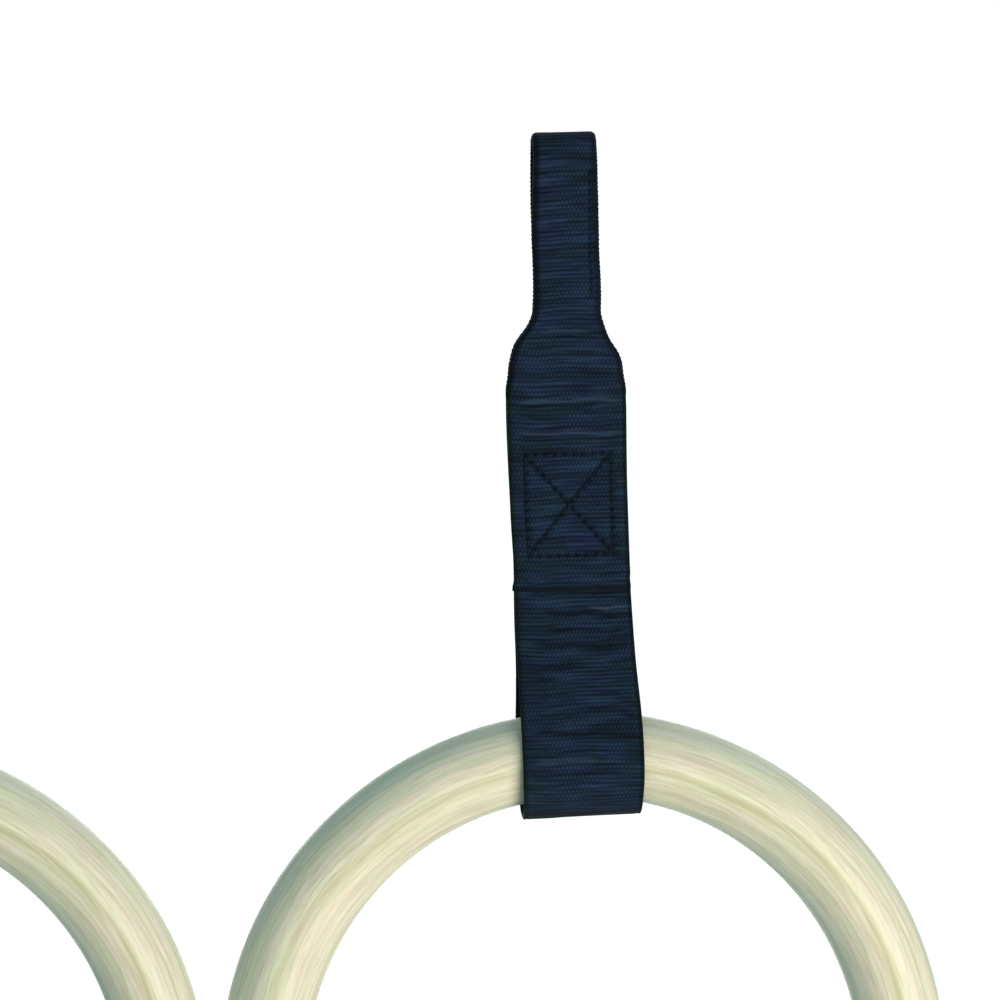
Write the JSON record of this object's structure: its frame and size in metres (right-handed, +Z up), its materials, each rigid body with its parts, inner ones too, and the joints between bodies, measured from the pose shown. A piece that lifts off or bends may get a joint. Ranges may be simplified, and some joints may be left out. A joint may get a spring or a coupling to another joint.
{
  "type": "gymnastics rings",
  "caption": "Pair of wooden gymnastics rings, each held in a sewn webbing strap with a narrow folded hanging loop above a stitched overlap.",
  "frame": {"origin": "midway between the two hanging loops, level with the inside top face of each loop, where it bears on its hook", "axes": "+Z up along the hanging straps, +X from the left ring to the right one, -Y towards the viewer; each ring stands in the XZ plane"},
  "size_m": [0.4754, 0.0336, 0.4227],
  "materials": {
    "ring_wood": "fine-sanded laminated hardwood, light lacquer, satin",
    "navy_webbing": "navy woven webbing with fine cross ribs and woven selvages, matt with a faint sheen",
    "navy_thread": "dark navy twisted sewing thread, slight sheen"
  },
  "bodies": {
    "hanging_loops": {"left_hanging_loop": "navy_webbing", "left_fold_seam_front": "navy_thread", "left_fold_seam_back": "navy_thread", "right_hanging_loop": "navy_webbing", "right_fold_seam_front": "navy_thread", "right_fold_seam_back": "navy_thread"},
    "left_shoulder": {"left_shoulder_front": "navy_webbing", "left_shoulder_back": "navy_webbing"},
    "left_overlap": {"left_overlap_outer": "navy_webbing", "left_overlap_inner": "navy_webbing", "left_overlap_back": "navy_webbing", "left_box_stitch_front": "navy_thread", "left_box_stitch_back": "navy_thread"},
    "left_ring_strap": {"left_ring_strap": "navy_webbing"},
    "left_ring": {"left_wooden_ring": "ring_wood"},
    "right_shoulder": {"right_shoulder_front": "navy_webbing", "right_shoulder_back": "navy_webbing"},
    "right_overlap": {"right_overlap_outer": "navy_webbing", "right_overlap_inner": "navy_webbing", "right_overlap_back": "navy_webbing", "right_box_stitch_front": "navy_thread", "right_box_stitch_back": "navy_thread"},
    "right_ring_strap": {"right_ring_strap": "navy_webbing"},
    "right_ring": {"right_wooden_ring": "ring_wood"}
  },
  "joints": [
    {"name": "left_strap_twist", "type": "hinge", "parent": "hanging_loops", "child": "left_shoulder", "pos_m": [-0.1197, 0, -0.052], "axis": [0, 0, 1], "range_deg": [-90, 90]},
    {"name": "left_upper_bend", "type": "hinge", "parent": "left_shoulder", "child": "left_overlap", "pos_m": [-0.1197, -0.00095, -0.0835], "axis": [1, 0, 0], "range_deg": [-60, 60]},
    {"name": "left_lower_bend", "type": "hinge", "parent": "left_overlap", "child": "left_ring_strap", "pos_m": [-0.1197, 0, -0.145], "axis": [1, 0, 0], "range_deg": [-60, 60]},
    {"name": "left_ring_spin", "type": "hinge", "parent": "left_ring_strap", "child": "left_ring", "pos_m": [-0.1197, 0, -0.3013], "axis": [0, 1, 0], "continuous": true},
    {"name": "right_strap_twist", "type": "hinge", "parent": "hanging_loops", "child": "right_shoulder", "pos_m": [0.1197, 0, -0.052], "axis": [0, 0, 1], "range_deg": [-90, 90]},
    {"name": "right_upper_bend", "type": "hinge", "parent": "right_shoulder", "child": "right_overlap", "pos_m": [0.1197, -0.00095, -0.0835], "axis": [1, 0, 0], "range_deg": [-60, 60]},
    {"name": "right_lower_bend", "type": "hinge", "parent": "right_overlap", "child": "right_ring_strap", "pos_m": [0.1197, 0, -0.145], "axis": [1, 0, 0], "range_deg": [-60, 60]},
    {"name": "right_ring_spin", "type": "hinge", "parent": "right_ring_strap", "child": "right_ring", "pos_m": [0.1197, 0, -0.3013], "axis": [0, 1, 0], "continuous": true}
  ]
}
